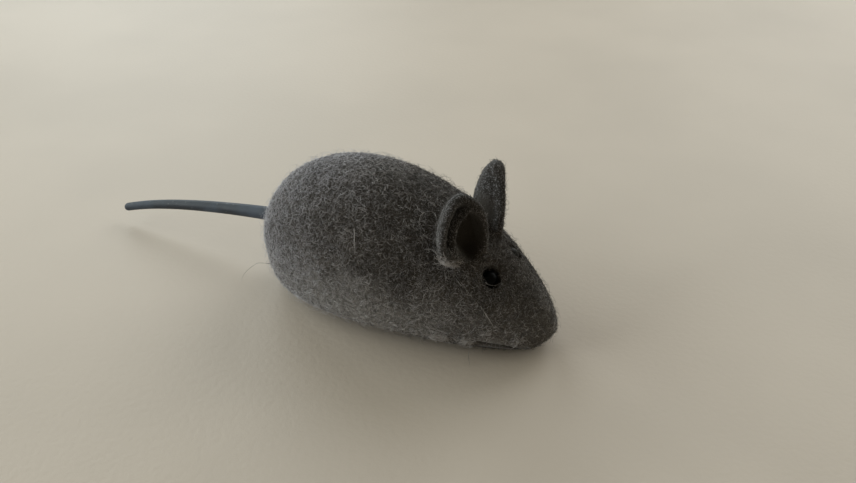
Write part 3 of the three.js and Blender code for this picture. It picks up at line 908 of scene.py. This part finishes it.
def fibre_rings(roots, normals, rng, segments, length, radius, lift, droop, curl):
    """Three-sided bent fibres. Each rises from its root at the angle lift and bends to the angle droop,
    turning about the normal by curl on its way; its width shrinks towards the tip. Returns the rings,
    fibre by fibre, and the tips."""
    count = len(roots)
    ahead = unit(np.cross(normals, unit(rng.normal(size=(count, 3)))))
    aside = np.cross(normals, ahead)
    share = np.linspace(0.0, 1.0, segments)[None, :]
    rise = np.radians(lift[:, None] + (droop - lift)[:, None] * share**0.7)
    turn = curl[:, None] * share
    flat = np.cos(turn)[..., None] * ahead[:, None] + np.sin(turn)[..., None] * aside[:, None]
    step = np.cos(rise)[..., None] * flat + np.sin(rise)[..., None] * normals[:, None]
    path = roots[:, None] - 0.12 * normals[:, None] + np.cumsum(step, axis=1) * (length / segments)[:, None, None]
    start = np.concatenate([roots[:, None] - 0.12 * normals[:, None], path[:, :-1]], axis=1)
    across = unit(np.cross(step, normals[:, None]) + 1e-6 * aside[:, None])
    over = np.cross(across, step)
    width = radius[:, None] * (1.0 - 0.55 * np.arange(segments) / segments)[None, :]
    rings = []
    for corner in range(3):
        a = 2.0 * np.pi * corner / 3.0 + 0.5 * np.pi
        rings.append(start + width[..., None] * (math.cos(a) * across + math.sin(a) * over))
    return np.stack(rings, 2), path[:, -1]


def fibre_faces(count, segments):
    """The faces of count fibres: three quads for each segment but the last, three triangles at the tip
    and one at the root."""
    quads, ends = [], [[0, 1, 2]]
    for ring in range(segments - 1):
        for corner in range(3):
            following = (corner + 1) % 3
            here = 3 * ring
            quads.append([here + corner, here + 3 + corner, here + 3 + following, here + following])
    last = 3 * (segments - 1)
    ends += [[last + corner, last + 3, last + (corner + 1) % 3] for corner in range(3)]
    offset = (np.arange(count) * (3 * segments + 1))[:, None, None]
    return (np.array(quads)[None] + offset).reshape(-1, 4), (np.array(ends)[None] + offset).reshape(-1, 3)


def ear_or_body(points):
    """True for points on the ears."""
    place = ear_place(points)
    gap = body_gap(points, -COAT_DEPTH)
    beside = (np.abs(place[:, 0]) < 6.5) & (place[:, 2] > -6.5) & (place[:, 2] < 3.0) & (place[:, 1] > -3.5)
    return beside & ((gap > 0.6) | (bowl_share(points) > 0.5))


def bowl_share(points):
    """1 inside the ears' bowls, 0 away from them."""
    place = ear_place(points) - np.array([-1.1, 4.7, -0.7])
    reach = np.linalg.norm(place / np.array([3.0, 4.9, 3.2]), axis=1)
    return smooth_step((1.1 - reach) / 0.3)


def tuft_share(points):
    """How thickly pale curls grow at points: a bell round the middle of each tuft, on both sides."""
    mirrored = points * np.array([1.0, 0.0, 1.0]) + np.abs(points) * np.array([0.0, 1.0, 0.0])
    share = np.zeros(len(points))
    for place, width in TUFTS:
        share += np.exp(-(np.linalg.norm(mirrored - place, axis=1) / width) ** 2) / width
    return share


def unwrap(points, on_ear, side):
    """The place of points on an unwrap of the skin: on the body, along x and round the spine; on an ear,
    sideways and up, with the front half to the left and the back half to the right. Each zone is scaled
    to fill the map."""
    place = ear_place(points)
    s = points[:, 0] / HALF_LENGTH
    around = np.arctan2(points[:, 2] - spine_height(s), side * points[:, 1] + 1e-6)
    front = place[:, 2] > -1.2
    u = np.where(on_ear, place[:, 0] + np.where(front, 0.0, 14.0), points[:, 0])
    v = np.where(on_ear, place[:, 1], around)
    spots = np.stack([u, v], -1)
    low, high = spots.min(axis=0), spots.max(axis=0)
    return 0.01 + 0.98 * (spots - low) / np.maximum(high - low, 1e-6)


# Small pale tufts: the middle of each, on the left side, and its width.
TUFTS = (
    ((13.5, 10.4, 19.4), 1.1),
    ((13.6, 9.6, 18.2), 1.1),
    ((20.3, 8.9, 6.4), 0.35),
    ((21.5, 8.4, 6.9), 0.3),
    ((24.9, 6.3, 3.9), 0.35),
    ((25.7, 5.8, 4.4), 0.3),
    ((17.6, 9.5, 3.2), 0.8),
    ((13.0, 11.2, 3.6), 1.0),
)
BAND_NAMES = ("rump", "flank", "shoulder", "face")
BAND_EDGES = (-31.0, -15.5, -3.0, 10.0, 31.0)
PATCH = 0.003


def coat_material(settings):
    """Flock fibres from dark to pale by their tone, with the markings they share with the skin."""
    material, tree, shader, place = new_material("flock fibres", 0.7, 0.25)
    marks = add_markings_and_shade(tree, place)
    tone = add_node(tree, "ShaderNodeAttribute", attribute_name="tone").outputs["Fac"]
    clouded = math_node(tree, "MULTIPLY_ADD", marks["Cloud"], 0.35)
    clouded.node.inputs[2].default_value = 0.8
    clumped = math_node(tree, "MULTIPLY_ADD", marks["Clump"], 0.9)
    clumped.node.inputs[2].default_value = 0.5
    shade = math_node(tree, "MULTIPLY", tone, math_node(tree, "MULTIPLY", clouded, clumped))
    # The tone gets painted light on the rump and painted shade on the face and along the table's edge; the dust and the
    # ears' darker flock are the flock's own.
    for mark, change, start in (("Rump light", 3.15, 0.85), ("Face shade", -0.34, 1.0), ("Dust", 3.6, 1.0), ("Contact shade", -0.7, 1.0),
                                ("Ear", -0.5, 1.0)):
        share = math_node(tree, "MULTIPLY_ADD", marks[mark], change)
        share.node.inputs[2].default_value = start
        shade = math_node(tree, "MULTIPLY", shade, share, clamp=mark == "Ear")
    # More painted light on the rump.
    shade = math_node(tree, "ADD", shade, math_node(tree, "MULTIPLY", marks["Rump light"], 0.035))
    # Painted light: the palest fibres are cool on the lit rump and warm on the shaded face.
    light = mix_colour(tree, marks["Rump light"], (*settings.warm_colour, 1.0), (*settings.light_colour, 1.0))
    colour = mix_colour(tree, shade, (*settings.dark_colour, 1.0), light)
    colour = mix_colour(tree, math_node(tree, "MULTIPLY", marks["Dust"], 0.22), colour, (*settings.dust_colour, 1.0))
    # Painted shade in the ears' bowls.
    colour = mix_colour(tree, math_node(tree, "MULTIPLY", marks["Bowl"], 0.85), colour, (*settings.bowl_shade_colour, 1.0))
    # Painted shade round the eye sockets.
    colour = mix_colour(tree, math_node(tree, "MULTIPLY", marks["Socket shade"], 0.6), colour, (0.02, 0.018, 0.016, 1.0))
    tree.links.new(colour, shader.inputs["Base Color"])
    return material


def fibre_sort(kind, count, roots, normals, rng, thickness, calm):
    """The measures of one sort of fibre; calm, 0 to 1, shortens and flattens them."""
    draw = rng.random((6, count))
    if kind == "short":
        segments, length, lift, droop = 2, 0.50 + 0.40 * draw[0], 62.0 - 30.0 * draw[1], 12.0 - 14.0 * draw[2]
        curl, radius = (draw[3] - 0.5) * 2.0, 0.85 + 0.3 * draw[4]
    elif kind == "curly":
        segments, length, lift, droop = 4, 1.0 + 0.9 * draw[0], 50.0 - 20.0 * draw[1], -2.0 - 10.0 * draw[2]
        curl, radius = (draw[3] - 0.5) * 5.0, 1.1 + 0.35 * draw[4]
    elif kind == "wispy":
        segments, length, lift, droop = 6, 1.5 + 1.8 * draw[0], 68.0 - 25.0 * draw[1], 8.0 - 20.0 * draw[2]
        curl, radius = (draw[3] - 0.5) * 9.0, 0.7 + 0.2 * draw[4]
    else:
        segments, length, lift, droop = 6, 1.2 + 1.4 * draw[0], 50.0 - 20.0 * draw[1], 0.0 - 20.0 * draw[2]
        curl, radius = (draw[3] - 0.5) * 16.0, 0.9 + 0.2 * draw[4]
        calm = 0.0 * calm
    length = length * (1.0 - 0.5 * calm)
    lift = lift * (1.0 - 0.35 * calm)
    rings, tips = fibre_rings(roots, normals, rng, segments, length, radius * thickness / 2.0, lift, droop, curl)
    low, spread = {"short": (0.0, 0.36), "curly": (0.14, 0.95), "wispy": (0.35, 0.6), "tuft": (1.1, 1.4)}[kind]
    # Fibres in the grooves of the ears and the mouth are darkened as painted shade.
    tone = (low + spread * draw[5] ** 2.2) * (1.0 - 0.85 * fold_share(roots))
    return segments, rings, tips, tone


def finish_fibres(piece, spots, tones):
    """Gives fibres their unwrap and their tones, both given vertex by vertex."""
    mesh = piece.data
    corners = np.empty(len(mesh.loops), np.int32)
    mesh.loops.foreach_get("vertex_index", corners)
    spots = np.clip(spots, 0.0, 1.0)[corners]
    mesh.uv_layers.new(name="OFBake").data.foreach_set("uv", spots.astype(np.float32).ravel())
    mesh.attributes.new("tone", "FLOAT", "POINT").data.foreach_set("value", tones.astype(np.float32))


def coat_piece(name, parts, material, on_ear, side):
    """One piece of the coat, from the fibres of each sort whose roots lie in its zone."""
    vertices, quads, ends, spots, tones = [], [], [], [], []
    offset = 0
    roots = np.concatenate([part[0] for part in parts])
    places = unwrap(roots, on_ear, side)
    taken = 0
    for root, segments, rings, tips, tone in parts:
        count = len(root)
        fibre = np.concatenate([rings.reshape(count, 3 * segments, 3), tips[:, None]], axis=1)
        four, three = fibre_faces(count, segments)
        vertices.append(fibre.reshape(-1, 3))
        quads.append(four + offset)
        ends.append(three + offset)
        along = np.append(np.repeat(np.arange(segments) / segments, 3), 1.0) - 0.5
        across = np.append(np.tile([0.0, 0.5, -0.5], segments), 0.0)
        patch = PATCH * np.stack([across, along], -1)
        spots.append((places[taken:taken + count, None] + patch[None]).reshape(-1, 2))
        tones.append(np.repeat(tone, 3 * segments + 1))
        offset += count * (3 * segments + 1)
        taken += count
    vertices = np.concatenate(vertices)
    low, high = (np.array(corner) / MM for corner in CAD_BOX)
    vertices = np.clip(vertices, low + 0.02, high - 0.02)
    faces = [np.concatenate(quads), np.concatenate(ends)]
    piece = new_piece(name, vertices, faces)
    finish_fibres(piece, np.concatenate(spots), np.concatenate(tones))
    finish_piece(piece, material, "flock")
    return piece


def build_coat(settings):
    """Short flock over the whole skin, in pieces: four bands along each side of the body and each ear."""
    skin = bpy.data.objects.get("skin")
    if skin is None:
        raise RuntimeError("The coat grows on the skin: build the skin first")
    vertices, triangles = mesh_arrays(skin)
    vertices = vertices / MM
    centres = vertices[triangles].mean(axis=1)
    rng = np.random.default_rng(settings.seed)

    reach, out = eye_place(centres)
    off_eye = np.where(np.abs(out) < 4.0, smooth_step((reach - EYE_OPENING - 0.02) / 0.2), 1.0)
    above, along = mouth_profile(centres)
    off_mouth = 1.0 - along * smooth_step((0.95 - np.abs(above)) / 0.3)
    from_tail = np.linalg.norm(centres[:, 1:] - [0.0, TAIL_HEIGHT + 0.1], axis=1)
    off_tail = np.where(centres[:, 0] < -20.0, smooth_step((from_tail - TAIL_ROOT_RADIUS - 0.1) / 0.3), 1.0)
    from_cap = np.linalg.norm(centres[:, :2] - [SQUEAKER_X, 0.0], axis=1)
    off_cap = np.where(centres[:, 2] < 4.0, smooth_step((from_cap - SQUEAKER_POCKET - 0.1) / 0.3), 1.0)
    under = 1.0 - 0.5 * smooth_step((0.6 - centres[:, 2]) / 0.3)
    bowl = 1.0 - 0.55 * bowl_share(centres)
    weight = off_eye * off_mouth * off_tail * off_cap * under * bowl * (1.0 - 0.7 * fold_share(centres))

    zones = {}
    for kind, count in (("short", settings.short_count), ("curly", settings.curly_count),
                        ("wispy", settings.wispy_count), ("tuft", settings.tuft_count)):
        share = weight * tuft_share(centres) if kind == "tuft" else weight
        roots, normals = spread_roots(vertices, triangles, share, count, rng)
        on_ear = ear_or_body(roots)
        calm = np.maximum(smooth_step((roots[:, 0] - 12.0) / 10.0) * 0.3, smooth_step((1.2 - roots[:, 2]) / 0.8))
        above, along = mouth_profile(roots)
        calm = np.maximum(calm, along * smooth_step((2.2 - np.abs(above)) / 0.8))
        calm = np.maximum(calm, np.where(on_ear, 0.8, 0.0))
        segments, rings, tips, tone = fibre_sort(kind, count, roots, normals, rng, settings.thickness / MM, calm)
        band = np.digitize(roots[:, 0], BAND_EDGES[1:-1])
        for side in (LEFT, RIGHT):
            here = roots[:, 1] * side > 0.0 if side == LEFT else roots[:, 1] <= 0.0
            for number, band_name in enumerate(BAND_NAMES):
                mask = here & ~on_ear & (band == number)
                zones.setdefault((band_name, side), []).append(
                    (roots[mask], segments, rings[mask], tips[mask], tone[mask]))
            mask = here & on_ear
            zones.setdefault(("ear", side), []).append(
                (roots[mask], segments, rings[mask], tips[mask], tone[mask]))

    material = coat_material(settings)
    for (zone, side), parts in zones.items():
        coat_piece(f"coat_{zone}_{SIDE_NAMES[side]}", parts, material, zone == "ear", side)


# Single long hairs caught in the coat: width, tone and the points that they pass through.
STRAY_HAIRS = (
    (0.055, 0.05, ((-22.4, -10.6, 7.2), (-24.7, -11.7, 7.4), (-25.6, -12.3, 7.4), (-26.3, -13.0, 6.9),
                   (-27.0, -14.0, 6.1), (-27.3, -14.6, 5.5), (-27.4, -15.3, 4.5))),
    (0.10, 1.0, ((-3.4, -11.9, 21.8), (-2.9, -12.6, 20.8), (-2.5, -13.4, 19.7), (-1.9, -14.0, 18.4))),
    (0.07, 0.75, ((8.4, -4.3, 23.1), (7.5, -3.7, 23.7), (6.6, -4.1, 23.9), (6.0, -5.1, 23.8), (6.2, -6.3, 23.2),
                  (7.0, -7.5, 22.2), (7.5, -8.2, 21.5), (8.5, -8.2, 21.0))),
    (0.07, 0.7, ((6.9, -6.7, 22.7), (8.0, -6.0, 22.6), (9.0, -5.2, 22.5))),
    (0.07, 0.7, ((7.6, -7.7, 21.7), (9.3, -7.6, 21.0), (10.8, -6.4, 20.9))),
    (0.06, 0.6, ((13.2, -8.4, 17.9), (15.2, -8.9, 15.8), (17.5, -9.1, 13.5), (19.9, -8.8, 10.7))),
    (0.09, 0.95, ((19.3, -8.8, 11.7), (20.9, -8.6, 9.3), (21.8, -8.2, 7.5))),
    (0.13, 1.3, ((19.0, -6.5, 15.0), (19.4, -6.3, 14.6), (20.0, -5.95, 14.35), (20.6, -5.4, 14.3), (21.0, -4.8, 14.5))),
    (0.06, 0.8, ((17.9, -9.4, 3.4), (17.8, -9.7, 1.2), (18.2, -10.2, 0.3), (18.8, -11.0, 0.1))),
)


def smooth_path(knots, count):
    """A Catmull-Rom curve through the knots."""
    knots = np.array(knots)
    padded = np.concatenate([2.0 * knots[:1] - knots[1:2], knots, 2.0 * knots[-1:] - knots[-2:-1]])
    t = np.linspace(0.0, len(knots) - 1.0, count)
    i = np.minimum(t.astype(int), len(knots) - 2)
    f = (t - i)[:, None]
    a, b, c, d = (padded[i + step] for step in range(4))
    return 0.5 * (2.0 * b + (c - a) * f + (2.0 * a - 5.0 * b + 4.0 * c - d) * f**2 + (3.0 * b - a - 3.0 * c + d) * f**3)


def hair_surface(path, width, sides=5):
    """A thin tube along a path, narrowing to a point at its far end."""
    ahead = unit(np.gradient(path, axis=0))
    across = unit(np.cross(ahead, unit(np.array([0.35, 0.52, 0.78]))))
    over = np.cross(across, ahead)
    share = np.linspace(0.0, 1.0, len(path))
    radius = 0.5 * width * (1.0 - 0.7 * share**3)
    radius[0] = radius[-1] = 0.0
    angle = -np.linspace(0.0, 2.0 * np.pi, sides, endpoint=False)[None, :, None]
    return path[:, None] + radius[:, None, None] * (np.cos(angle) * across[:, None] + np.sin(angle) * over[:, None])


def build_stray_hairs(settings):
    """Long single hairs caught in the coat, made as one piece."""
    vertices, walls, caps, tones = [], [], [], []
    offset = 0
    for width, tone, knots in STRAY_HAIRS:
        points, (four, three) = lofted(hair_surface(smooth_path(knots, 8 * len(knots)), width))
        vertices.append(points)
        walls.append(four + offset)
        caps.append(three + offset)
        tones.append(np.full(len(points), tone))
        offset += len(points)
    vertices = np.concatenate(vertices)
    piece = new_piece("stray_hairs", vertices, [np.concatenate(walls), np.concatenate(caps)])
    spots = unwrap(vertices, np.zeros(len(vertices), bool), RIGHT)
    finish_fibres(piece, spots, np.concatenate(tones))
    finish_piece(piece, bpy.data.materials["flock fibres"], "flock")


# ------------------------------------------------------------------ eyes, tail and squeaker


def build_eyes(settings):
    """Two black beads, each a ball sunk into the head."""
    material, tree, shader, place = new_material("eye bead", settings.eye_roughness, 0.07)
    shader.inputs["Base Color"].default_value = (*settings.eye_colour, 1.0)
    bump = add_node(tree, "ShaderNodeBump",
                    {"Strength": 0.08, "Distance": 0.00005, "Height": add_grain(tree, place, 2500.0)})
    tree.links.new(bump.outputs[0], shader.inputs["Normal"])
    for side in (LEFT, RIGHT):
        mirror = np.array([1.0, side, 1.0])
        facing = EYE_FACING * mirror
        across, over = eye_cross(facing)
        centre = EYE_PLACE * mirror - EYE_SUNK * facing
        rings = ball_surface(centre, [EYE_RADIUS * axis for axis in (across, over, facing)], 40, 64)
        name = f"eye_bead_{SIDE_NAMES[side]}"
        bead = new_piece(name, *lofted(rings))
        finish_piece(bead, material, "eye", f"eye_{SIDE_NAMES[side]}")


def build_tail(settings):
    """A smooth rubber cord that narrows evenly to a rounded tip."""
    cap = 1.0 - TAIL_TIP_RADIUS / TAIL_LENGTH
    t = np.concatenate([np.linspace(-TAIL_PLUG / TAIL_LENGTH, cap, 120),
                        cap + (1.0 - cap) * np.sin(np.linspace(0.0, 0.5 * np.pi, 12))[1:]])
    t = np.concatenate([t[:1], t])
    radius = TAIL_ROOT_RADIUS + (TAIL_TIP_RADIUS - TAIL_ROOT_RADIUS) * np.clip(t, 0.0, 1.0)
    over = np.clip((t - cap) / (1.0 - cap), 0.0, 1.0)
    radius = radius * np.sqrt(1.0 - over**2)
    radius[0] = radius[-1] = 0.0
    tail = new_piece("tail_cord", *lofted(tail_surface(t, radius, 40)))

    material, tree, shader, place = new_material("tail rubber", settings.tail_roughness, 0.3)
    wear = add_node(tree, "ShaderNodeTexNoise", {"Vector": place, "Scale": 160.0, "Detail": 5.0})
    scuffed = (*(2.2 * channel for channel in settings.tail_colour), 1.0)
    colour = mix_colour(tree, ramp(tree, wear.outputs[0], 0.45, 0.75), (*settings.tail_colour, 1.0), scuffed)
    dust = add_node(tree, "ShaderNodeTexVoronoi", {"Vector": place, "Scale": 900.0})
    speck = ramp(tree, dust.outputs["Distance"], 0.14, 0.06)
    colour = mix_colour(tree, math_node(tree, "MULTIPLY", speck, 0.5), colour, (0.3, 0.3, 0.29, 1.0))
    tree.links.new(colour, shader.inputs["Base Color"])
    rough = add_node(tree, "ShaderNodeMapRange",
                     {0: wear.outputs[0], 1: 0.3, 2: 0.7, 3: settings.tail_roughness - 0.06,
                      4: settings.tail_roughness + 0.12})
    tree.links.new(rough.outputs[0], shader.inputs["Roughness"])
    bump = add_node(tree, "ShaderNodeBump",
                    {"Strength": 0.15, "Distance": 0.00008, "Height": add_grain(tree, place, 1400.0)})
    tree.links.new(bump.outputs[0], shader.inputs["Normal"])
    finish_piece(tail, material, "tail", "tail")


def build_squeaker(settings):
    """A pale plastic cap with a raised ring round a small hole, turned about an upright axis."""
    profile = [(0.0, 1.75), (0.52, 1.75), (0.6, 1.67), (0.6, 0.4), (0.68, 0.3), (2.45, 0.3), (2.62, 0.36),
               (2.85, 0.7), (3.0, 0.76), (3.15, 0.7), (3.38, 0.36), (3.55, 0.3), (4.15, 0.3), (4.33, 0.37),
               (4.4, 0.55), (4.4, 3.2), (0.0, 3.2)]
    cap = new_piece("squeaker_cap", *lofted(turned_surface(profile, np.array([SQUEAKER_X, 0.0, 0.0]), 96)))
    material, tree, shader, place = new_material("squeaker plastic", 0.45, 0.4)
    grain = add_grain(tree, place, 1800.0)
    worn = (*(0.8 * channel for channel in settings.squeaker_colour), 1.0)
    colour = mix_colour(tree, ramp(tree, grain, 0.4, 0.7), (*settings.squeaker_colour, 1.0), worn)
    tree.links.new(colour, shader.inputs["Base Color"])
    bump = add_node(tree, "ShaderNodeBump", {"Strength": 0.15, "Distance": 0.00006, "Height": grain})
    tree.links.new(bump.outputs[0], shader.inputs["Normal"])
    finish_piece(cap, material, "squeaker", "squeaker")


# ------------------------------------------------------------------ operators and panel


class TOYMOUSE_OT_stage(bpy.types.Operator):
    """Lays the floor and sets the lights and the camera"""

    bl_idname = "toymouse.stage"
    bl_label = "Floor, lights and camera"

    def execute(self, context):
        build_stage(context.scene.mouse_stage)
        return {"FINISHED"}


class TOYMOUSE_OT_skin(bpy.types.Operator):
    """Makes the skin of body and ears"""

    bl_idname = "toymouse.skin"
    bl_label = "Skin"

    def execute(self, context):
        build_skin(context.scene.mouse_skin)
        return {"FINISHED"}


class TOYMOUSE_OT_coat(bpy.types.Operator):
    """Covers the skin with flock"""

    bl_idname = "toymouse.coat"
    bl_label = "Flock"

    def execute(self, context):
        build_coat(context.scene.mouse_coat)
        return {"FINISHED"}


class TOYMOUSE_OT_stray_hairs(bpy.types.Operator):
    """Lays single long hairs on the flock"""

    bl_idname = "toymouse.stray_hairs"
    bl_label = "Stray hairs"

    def execute(self, context):
        build_stray_hairs(context.scene.mouse_coat)
        return {"FINISHED"}


class TOYMOUSE_OT_eyes(bpy.types.Operator):
    """Sets the bead eyes into the head"""

    bl_idname = "toymouse.eyes"
    bl_label = "Eyes"

    def execute(self, context):
        build_eyes(context.scene.mouse_small_parts)
        return {"FINISHED"}


class TOYMOUSE_OT_tail(bpy.types.Operator):
    """Makes the rubber tail"""

    bl_idname = "toymouse.tail"
    bl_label = "Tail"

    def execute(self, context):
        build_tail(context.scene.mouse_small_parts)
        return {"FINISHED"}


class TOYMOUSE_OT_squeaker(bpy.types.Operator):
    """Makes the squeaker cap in the underside"""

    bl_idname = "toymouse.squeaker"
    bl_label = "Squeaker"

    def execute(self, context):
        build_squeaker(context.scene.mouse_small_parts)
        return {"FINISHED"}


class TOYMOUSE_PT_panel(bpy.types.Panel):
    """Lists what the toy mouse is made of"""

    bl_idname = "TOYMOUSE_PT_panel"
    bl_label = "Toy mouse"
    bl_space_type = "VIEW_3D"
    bl_region_type = "UI"
    bl_category = "Toy mouse"

    def draw(self, context):
        for group, operators in PANEL_ROWS:
            settings = getattr(context.scene, group)
            box = self.layout.box()
            for name in settings.__annotations__:
                box.prop(settings, name)
            for operator in operators:
                box.operator(operator.bl_idname)


OPERATORS = (TOYMOUSE_OT_stage, TOYMOUSE_OT_skin, TOYMOUSE_OT_coat, TOYMOUSE_OT_stray_hairs, TOYMOUSE_OT_eyes,
             TOYMOUSE_OT_tail, TOYMOUSE_OT_squeaker)
SETTINGS = {
    "mouse_stage": StageSettings,
    "mouse_skin": SkinSettings,
    "mouse_coat": CoatSettings,
    "mouse_small_parts": SmallPartSettings,
}
PANEL_ROWS = (
    ("mouse_stage", OPERATORS[:1]),
    ("mouse_skin", OPERATORS[1:2]),
    ("mouse_coat", OPERATORS[2:4]),
    ("mouse_small_parts", OPERATORS[4:]),
)


def register():
    for kind in (*SETTINGS.values(), *OPERATORS, TOYMOUSE_PT_panel):
        bpy.utils.register_class(kind)
    for name, kind in SETTINGS.items():
        setattr(bpy.types.Scene, name, PointerProperty(type=kind))


def unregister():
    for name in SETTINGS:
        delattr(bpy.types.Scene, name)
    for kind in reversed((*SETTINGS.values(), *OPERATORS, TOYMOUSE_PT_panel)):
        bpy.utils.unregister_class(kind)


def main():
    register()
    bpy.ops.toymouse.stage()
    bpy.ops.toymouse.skin()
    bpy.ops.toymouse.coat()
    bpy.ops.toymouse.stray_hairs()
    bpy.ops.toymouse.eyes()
    bpy.ops.toymouse.tail()
    bpy.ops.toymouse.squeaker()


if __name__ == "__main__":
    main()
